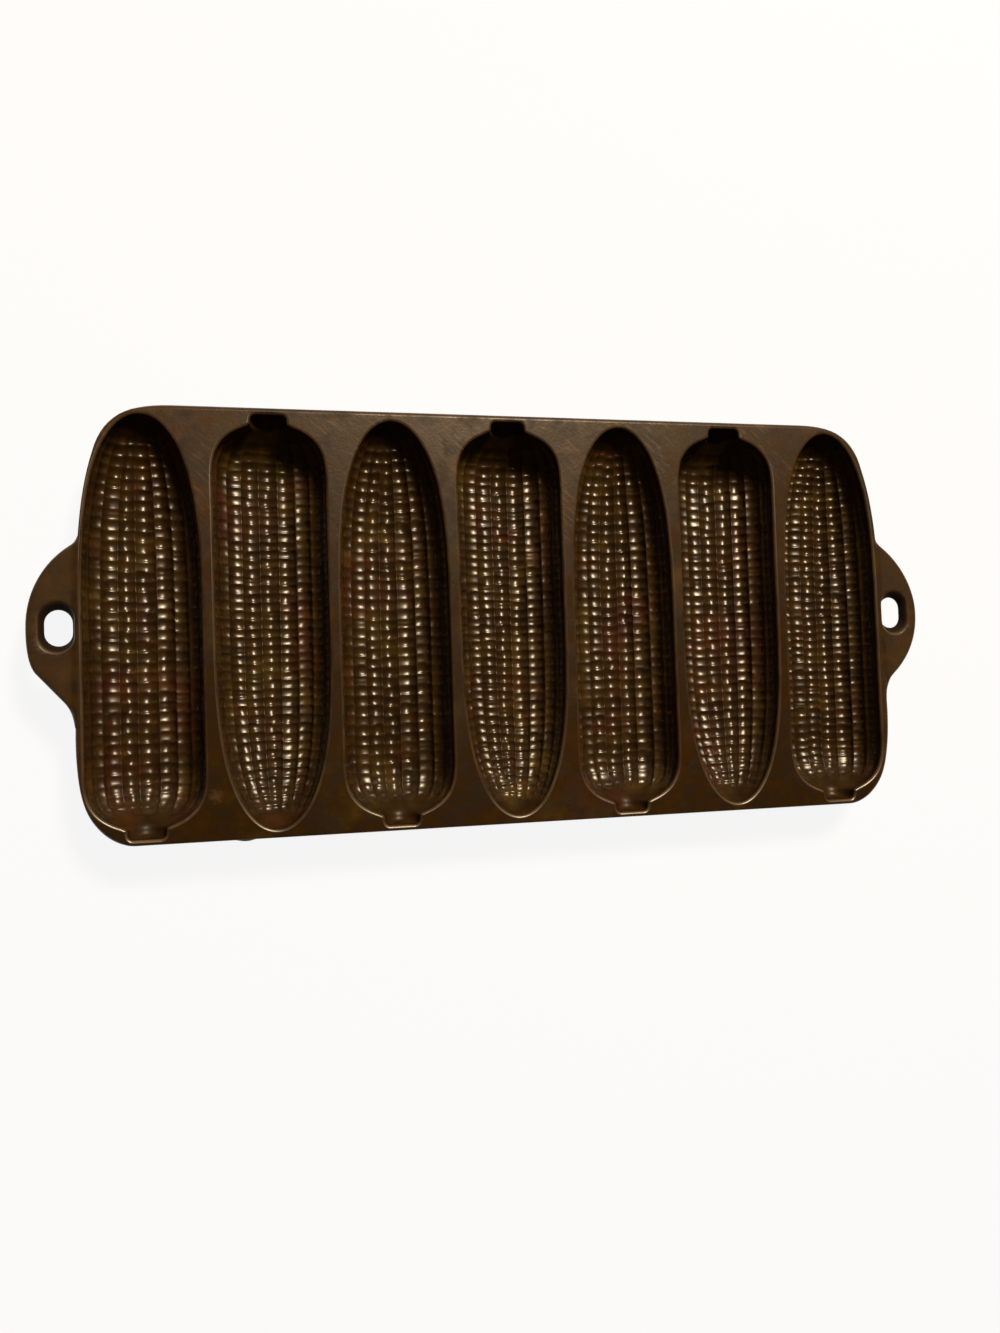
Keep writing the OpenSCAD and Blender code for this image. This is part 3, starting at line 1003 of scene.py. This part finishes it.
def cast_grain_group(name):
    """Height of a sand cast surface: fine and broad pebbling, and a few small pits"""
    tree, given, put = make_group(name, {"Place": None, "Grain": 900.0, "Pits": 0.5}, {"Height": "Float"})
    place = given["Place"]
    fine = noise_value(tree, place, given["Grain"], 4.0, 0.6)
    broad = noise_value(tree, place, 240.0, 3.0, 0.5)
    cells = tree.nodes.new("ShaderNodeTexVoronoi")
    plug(tree, place, cells.inputs["Vector"])
    cells.inputs["Scale"].default_value = 420.0
    pit = range_value(tree, cells.outputs["Distance"], 0.05, 0.35, 1.0, 0.0)
    rare = range_value(tree, noise_value(tree, place, 130.0, 1.0), 0.56, 0.66)
    dug = times(tree, times(tree, pit, rare), given["Pits"])
    height = math_value(tree, "ADD", fine, broad)
    plug(tree, math_value(tree, "SUBTRACT", height, dug), put["Height"])
    return tree


def patina_group(name):
    """Seasoning that differs from place to place: redder, yellower and blacker patches, and paler where
    the sheen and ear mask is high, which along the plate's back edge is painted sheen"""
    grey = (0.05, 0.05, 0.05, 1)
    tree, given, put = make_group(
        name,
        {"Place": None, "Base": grey, "Rust": grey, "Olive": grey, "Dry": grey, "Rust amount": 0.5,
         "Olive amount": 0.5, "Dry mask": 0.0},
        {"Colour": "Color", "Gloss": "Float"},
    )
    place = given["Place"]
    colour = mix_colour(tree, given["Dry mask"], given["Base"], given["Dry"])
    rust = range_value(tree, noise_value(tree, place, 34.0, 5.0, 0.6, 0.6), 0.50, 0.70)
    rust = times(tree, rust, given["Rust amount"])
    olive = range_value(tree, noise_value(tree, place, 52.0, 6.0, 0.65), 0.48, 0.72)
    olive = times(tree, olive, given["Olive amount"])
    mottle = range_value(tree, noise_value(tree, place, 150.0, 4.0, 0.6), 0.3, 0.7, 0.58, 1.40)
    colour = mix_colour(tree, rust, colour, given["Rust"])
    colour = mix_colour(tree, olive, colour, given["Olive"])
    tint = tree.nodes.new("ShaderNodeCombineColor")
    for label in ("Red", "Green", "Blue"):
        plug(tree, mottle, tint.inputs[label])
    plug(tree, mix_colour(tree, 1.0, colour, tint.outputs["Color"], "MULTIPLY"), put["Colour"])
    plug(tree, math_value(tree, "SUBTRACT", mottle, rust), put["Gloss"])
    return tree


STREAK_SLANT = math.radians(-40)
STREAK_SIZE = (7.5 * MM, 1.0 * MM, 3 * MM)


def streak_group(name):
    """Fine scratches from scouring, all at one slant and broken up in patches"""
    tree, given, put = make_group(name, {"Place": None, "Amount": 1.0}, {"Mask": "Float"})
    place = given["Place"]
    turned = tree.nodes.new("ShaderNodeMapping")
    turned.vector_type = "TEXTURE"
    turned.inputs["Rotation"].default_value = (0, 0, STREAK_SLANT)
    turned.inputs["Scale"].default_value = STREAK_SIZE
    plug(tree, place, turned.inputs["Vector"])
    lines = range_value(tree, noise_value(tree, turned.outputs["Vector"], 1.0, 3.0, 0.6, 0.4), 0.50, 0.72)
    patch = range_value(tree, noise_value(tree, place, 40.0, 3.0), 0.42, 0.62)
    plug(tree, times(tree, times(tree, lines, patch), given["Amount"]), put["Mask"])
    return tree


def rub_and_glint_group(name):
    """Where an edge is rubbed, and where a painted highlight lies: the mesh's wear and highlight mask,
    broken up by noise
    """
    tree, given, put = make_group(name, {"Place": None, "Worn": 0.0, "Amount": 0.6}, {"Mask": "Float"})
    broken = range_value(tree, noise_value(tree, given["Place"], 95.0, 4.0, 0.6), 0.30, 0.66, 0.25, 1.0)
    plug(tree, times(tree, times(tree, given["Worn"], broken), given["Amount"]), put["Mask"])
    return tree


def add_group(tree, build, name, **values):
    """Places a shared group, which is built the first time, and gives its outputs"""
    node = tree.nodes.new("ShaderNodeGroup")
    node.node_tree = bpy.data.node_groups.get(name) or build(name)
    fill_inputs(tree, node, {label.replace("_", " "): value for label, value in values.items()})
    return node.outputs


def opaque(colour):
    return (*colour, 1.0)


def attribute_value(tree, name):
    node = tree.nodes.new("ShaderNodeAttribute")
    node.attribute_name = name
    return node.outputs["Fac"]


# The paler band along the back edge is painted sheen, where the lamp's broad reflection falls on the plate.
BACK_SHEEN_BAND = (45 * MM, 125 * MM)
BACK_SHEEN_BLUR = 90 * MM
EAR_BAND = (140 * MM, 156 * MM)
SCUFF_MIDDLE = (-107 * MM, -59 * MM, PLATE_HIGH.z)
SCUFF_EDGE = (2 * MM, 6 * MM)


def sheen_and_ear_masks(tree, place):
    """A band along the back edge, where the paler colour is painted sheen, and the ears, which are paler in
    tone
    """
    parts = tree.nodes.new("ShaderNodeSeparateXYZ")
    plug(tree, place, parts.inputs["Vector"])
    blur = times(tree, noise_value(tree, place, 30.0, 4.0, 0.6), BACK_SHEEN_BLUR)
    back = range_value(tree, math_value(tree, "ADD", parts.outputs["Y"], blur), *BACK_SHEEN_BAND)
    sides = range_value(tree, math_value(tree, "ABSOLUTE", parts.outputs["X"]), *EAR_BAND)
    return back, sides


def scuff_mask(tree, place):
    """A pale scuff on the plate between the first two moulds"""
    away = tree.nodes.new("ShaderNodeVectorMath")
    away.operation = "DISTANCE"
    plug(tree, place, away.inputs[0])
    away.inputs[1].default_value = SCUFF_MIDDLE
    ragged = times(tree, noise_value(tree, place, 700.0, 3.0), 5 * MM)
    reach = math_value(tree, "ADD", away.outputs["Value"], ragged)
    return range_value(tree, reach, *SCUFF_EDGE, 0.45, 0.0)


SPECULAR = 0.22
SHINE_ROUGHNESS = 0.33
SHINE_IOR = 1.8
RUBBED_SHINE, KERNEL_SHINE, RIDGE_SHINE = 0.77, 0.52, 0.06
RUBBED_ROUGHNESS, HOLE_WALL_ROUGHNESS = 0.34, 0.85
RIDGE_DULLING = 0.12
RIDGE_EDGE = (0.02, 0.40)
SCRATCH_SHARE, EAR_SHARE = 0.8, 0.10
EAR_PATCHES = 0.25
CUP_GRAIN = 0.18
BUMP_STRENGTH, BUMP_DEPTH = 0.35, 0.12 * MM


def iron_material(name, finish, with_cup):
    """Seasoned cast iron. In a cup it's darker and glossier than on the plate"""
    if name in bpy.data.materials:
        return bpy.data.materials[name]
    material = bpy.data.materials.new(name)
    material.use_nodes = True
    tree = material.node_tree
    shader = tree.nodes["Principled BSDF"]
    place = tree.nodes.new("ShaderNodeTexCoord").outputs["Object"]
    colours = {"Rust": opaque(finish.rust_colour), "Olive": opaque(finish.olive_colour),
               "Dry": opaque(finish.sheen_and_ear_colour)}
    # back is painted sheen along the plate's back edge; sides are the ears' paler tone.
    back, sides = sheen_and_ear_masks(tree, place)
    even = math_value(tree, "MULTIPLY_ADD", sides, EAR_PATCHES - 1, 1.0)
    patina = add_group(
        tree, patina_group, "Patina", Place=place, Base=opaque(finish.plate_colour),
        Dry_mask=math_value(tree, "MAXIMUM", back, sides), Rust_amount=times(tree, even, 0.4),
        Olive_amount=times(tree, even, 0.5), **colours
    )
    streaks = add_group(tree, streak_group, "Scouring", Place=place, Amount=back)["Mask"]
    scoured = math_value(tree, "MAXIMUM", times(tree, streaks, SCRATCH_SHARE), times(tree, sides, EAR_SHARE))
    scoured = math_value(tree, "MAXIMUM", scoured, scuff_mask(tree, place))
    colour = mix_colour(tree, scoured, patina["Colour"], opaque(finish.scratch_colour))
    dull, bright = finish.plate_roughness + 0.16, finish.plate_roughness - 0.07
    roughness = range_value(tree, patina["Gloss"], 0.3, 1.3, dull, bright)
    height = add_group(tree, cast_grain_group, "Cast grain", Place=place, Grain=900.0, Pits=0.5)["Height"]
    shine = 0.0
    if with_cup:
        cup = attribute_value(tree, "cup")
        dark = add_group(tree, patina_group, "Patina", Place=place, Base=opaque(finish.cup_colour),
                         Rust_amount=0.75, Olive_amount=0.65, **colours)
        colour = mix_colour(tree, cup, colour, dark["Colour"])
        dull, bright = finish.cup_roughness + 0.08, finish.cup_roughness - 0.06
        gloss = range_value(tree, dark["Gloss"], 0.5, 1.2, dull, bright)
        ridge = range_value(tree, attribute_value(tree, "kernel"), *RIDGE_EDGE, 1.0, 0.0)
        gloss = math_value(tree, "ADD", gloss, times(tree, ridge, RIDGE_DULLING))
        roughness = mix_value(tree, cup, roughness, gloss)
        lip = attribute_value(tree, "lip")
        roughness = mix_value(tree, lip, roughness, SHINE_ROUGHNESS)
        shine = times(tree, cup, mix_value(tree, ridge, KERNEL_SHINE, RIDGE_SHINE))
        shine = mix_value(tree, lip, shine, RUBBED_SHINE)
        height = times(tree, height, mix_value(tree, cup, 1.0, CUP_GRAIN))
    # The worn mask is real wear on edges, and a painted highlight on lips and hole mouths that face the
    # lamp.
    wear_and_glint = attribute_value(tree, "wear_and_glint")
    rub_and_glint = add_group(tree, rub_and_glint_group, "Edge wear and glint", Place=place, Worn=wear_and_glint, Amount=0.8)["Mask"]
    colour = mix_colour(tree, rub_and_glint, colour, opaque(finish.wear_and_glint_colour))
    roughness = mix_value(tree, rub_and_glint, roughness, RUBBED_ROUGHNESS)
    shine = mix_value(tree, rub_and_glint, shine, RUBBED_SHINE)
    # Painted shade on the walls of the hanging holes, which are also made rougher.
    hollow = attribute_value(tree, "hollow")
    colour = mix_colour(tree, hollow, colour, opaque(finish.hole_shade_colour))
    roughness = mix_value(tree, hollow, roughness, HOLE_WALL_ROUGHNESS)
    bump = tree.nodes.new("ShaderNodeBump")
    fill_inputs(tree, bump, {"Strength": BUMP_STRENGTH, "Distance": BUMP_DEPTH, "Height": height})
    fill_inputs(tree, shader, {
        "Base Color": colour, "Roughness": roughness, "Coat Weight": shine, "Normal": bump.outputs["Normal"],
        "Specular IOR Level": SPECULAR, "Coat Roughness": SHINE_ROUGHNESS, "Coat IOR": SHINE_IOR,
    })
    return material


def seasoned_iron(context):
    return iron_material("Seasoned iron", context.scene.iron_finish, False)


def greased_iron(context):
    return iron_material("Greased mould iron", context.scene.iron_finish, True)


class CORNPAN_OT_cob_moulds(bpy.types.Operator):
    """Model the seven cob shaped moulds with their kernels"""

    bl_idname = "cornpan.cob_moulds"
    bl_label = "Cob Moulds"

    def execute(self, context):
        scene = context.scene
        material = greased_iron(context)
        for number in range(1, len(MOULD_NODES) + 1):
            bm = model_mould(number, scene.cob_sizes, scene.kernel_sizes, scene.plate_sizes)
            finish_piece(bm, f"cob_cup_{number}", material, [f"cob_mould_{number}"])
        return {"FINISHED"}


class CORNPAN_OT_top_plate(bpy.types.Operator):
    """Model the plate that carries the moulds"""

    bl_idname = "cornpan.top_plate"
    bl_label = "Top Plate"

    def execute(self, context):
        scene = context.scene
        bm = model_plate(scene.cob_sizes, scene.kernel_sizes, scene.plate_sizes)
        finish_piece(bm, "plate_face", seasoned_iron(context), PLATE_NODES)
        return {"FINISHED"}


class CORNPAN_OT_ears(bpy.types.Operator):
    """Model the two ears with their hanging holes"""

    bl_idname = "cornpan.ears"
    bl_label = "Ears"

    def execute(self, context):
        for side, word in ((-1, "left"), (1, "right")):
            bm = model_ear(side, context.scene.plate_sizes)
            finish_piece(bm, f"ear_{word}", seasoned_iron(context), [f"handle_{word}"])
        return {"FINISHED"}


class CORNPAN_OT_gate_stub(bpy.types.Operator):
    """Model the broken end of the gate"""

    bl_idname = "cornpan.gate_stub"
    bl_label = "Gate Stub"

    def execute(self, context):
        finish_piece(model_gate_stub(), "broken_gate", seasoned_iron(context), ["gate_stub"])
        return {"FINISHED"}


def mix_shaders(tree, share, first, second):
    node = tree.nodes.new("ShaderNodeMixShader")
    plug(tree, share, node.inputs["Fac"])
    tree.links.new(first, node.inputs[1])
    tree.links.new(second, node.inputs[2])
    return node.outputs["Shader"]


def seen_ray(tree, *kinds):
    """1 for the named kinds of ray: Camera, Glossy or Transmission"""
    path = tree.nodes.new("ShaderNodeLightPath")
    seen = 0.0
    for kind in kinds:
        seen = math_value(tree, "MAXIMUM", seen, path.outputs[f"Is {kind} Ray"])
    return seen


FLOOR_GLOW = 0.9


def floor_material(colour):
    """A pale floor that the camera and reflections see as white, that keeps its shadow, and that is
    clear from below"""
    material = bpy.data.materials.new("Studio floor")
    material.use_nodes = True
    tree = material.node_tree
    shader = tree.nodes["Principled BSDF"]
    fill_inputs(tree, shader, {"Base Color": opaque(colour), "Roughness": 0.9, "Specular IOR Level": 0.1})
    glow = tree.nodes.new("ShaderNodeEmission")
    share = times(tree, seen_ray(tree, "Camera", "Glossy", "Transmission"), FLOOR_GLOW)
    above = mix_shaders(tree, share, shader.outputs["BSDF"], glow.outputs["Emission"])
    below = tree.nodes.new("ShaderNodeBsdfTransparent").outputs["BSDF"]
    side = tree.nodes.new("ShaderNodeNewGeometry").outputs["Backfacing"]
    tree.links.new(mix_shaders(tree, side, above, below), tree.nodes["Material Output"].inputs["Surface"])
    return material


class CORNPAN_OT_stage(bpy.types.Operator):
    """Lay the floor, hang the lamp and place the camera"""

    bl_idname = "cornpan.stage"
    bl_label = "Stage"

    def lay_floor(self, setup):
        mesh = bpy.data.meshes.new("studio_floor")
        bm = bmesh.new()
        bmesh.ops.create_grid(bm, x_segments=4, y_segments=4, size=4.0)
        bm.to_mesh(mesh)
        bm.free()
        floor = bpy.data.objects.new("studio_floor", mesh)
        mesh.materials.append(floor_material(setup.floor_colour))
        bpy.context.scene.collection.objects.link(floor)

    def hang_lamp(self, setup):
        light = bpy.data.lights.new("lamp", "AREA")
        light.shape = "DISK"
        light.size = setup.lamp_size
        light.energy = setup.lamp_power
        light.color = setup.lamp_colour
        lamp = bpy.data.objects.new("lamp", light)
        lamp.location = setup.lamp_place
        lamp.rotation_euler = (-Vector(setup.lamp_place)).to_track_quat("-Z", "Y").to_euler()
        bpy.context.scene.collection.objects.link(lamp)

    def set_world(self, setup):
        """Warm light all round, behind which the camera sees white"""
        world = bpy.data.worlds.new("studio_air")
        world.use_nodes = True
        tree = world.node_tree
        fill = tree.nodes["Background"]
        fill_inputs(tree, fill, {"Color": opaque(setup.fill_colour), "Strength": setup.fill})
        white = tree.nodes.new("ShaderNodeBackground")
        white.inputs["Color"].default_value = (1, 1, 1, 1)
        seen = seen_ray(tree, "Camera", "Transmission")
        mixed = mix_shaders(tree, seen, fill.outputs["Background"], white.outputs["Background"])
        tree.links.new(mixed, tree.nodes["World Output"].inputs["Surface"])
        bpy.context.scene.world = world

    def place_camera(self, setup):
        camera = bpy.data.objects.new("camera", bpy.data.cameras.new("camera"))
        camera.data.lens = setup.lens
        camera.data.clip_start = 0.01
        camera.location = setup.camera_place
        camera.rotation_euler = setup.camera_turn
        bpy.context.scene.collection.objects.link(camera)
        bpy.context.scene.camera = camera

    def execute(self, context):
        setup = context.scene.stage_setup
        self.lay_floor(setup)
        self.hang_lamp(setup)
        self.set_world(setup)
        self.place_camera(setup)
        context.scene.view_settings.view_transform = "Standard"
        return {"FINISHED"}


PIECE_OPERATORS = (
    CORNPAN_OT_stage,
    CORNPAN_OT_cob_moulds,
    CORNPAN_OT_top_plate,
    CORNPAN_OT_ears,
    CORNPAN_OT_gate_stub,
)


class CORNPAN_PT_sidebar(bpy.types.Panel):
    """Buttons and sizes of the corn stick pan"""

    bl_idname = "CORNPAN_PT_sidebar"
    bl_label = "Corn Stick Pan"
    bl_space_type = "VIEW_3D"
    bl_region_type = "UI"
    bl_category = "Corn Pan"

    def draw(self, context):
        layout = self.layout
        for operator in PIECE_OPERATORS:
            layout.operator(operator.bl_idname)
        for name in PROPERTY_GROUPS:
            group = getattr(context.scene, name)
            box = layout.box()
            for key in group.__annotations__:
                box.prop(group, key)


PROPERTY_GROUPS = {
    "cob_sizes": CobSizes,
    "kernel_sizes": KernelSizes,
    "plate_sizes": PlateSizes,
    "iron_finish": IronFinish,
    "stage_setup": StageSetup,
}
CLASSES = (*PROPERTY_GROUPS.values(), *PIECE_OPERATORS, CORNPAN_PT_sidebar)


def register():
    for item in CLASSES:
        bpy.utils.register_class(item)
    for name, group in PROPERTY_GROUPS.items():
        setattr(bpy.types.Scene, name, PointerProperty(type=group))


def unregister():
    for name in PROPERTY_GROUPS:
        delattr(bpy.types.Scene, name)
    for item in reversed(CLASSES):
        bpy.utils.unregister_class(item)


def main():
    register()
    for operator in PIECE_OPERATORS:
        family, action = operator.bl_idname.split(".")
        getattr(getattr(bpy.ops, family), action)()


if __name__ == "__main__":
    main()
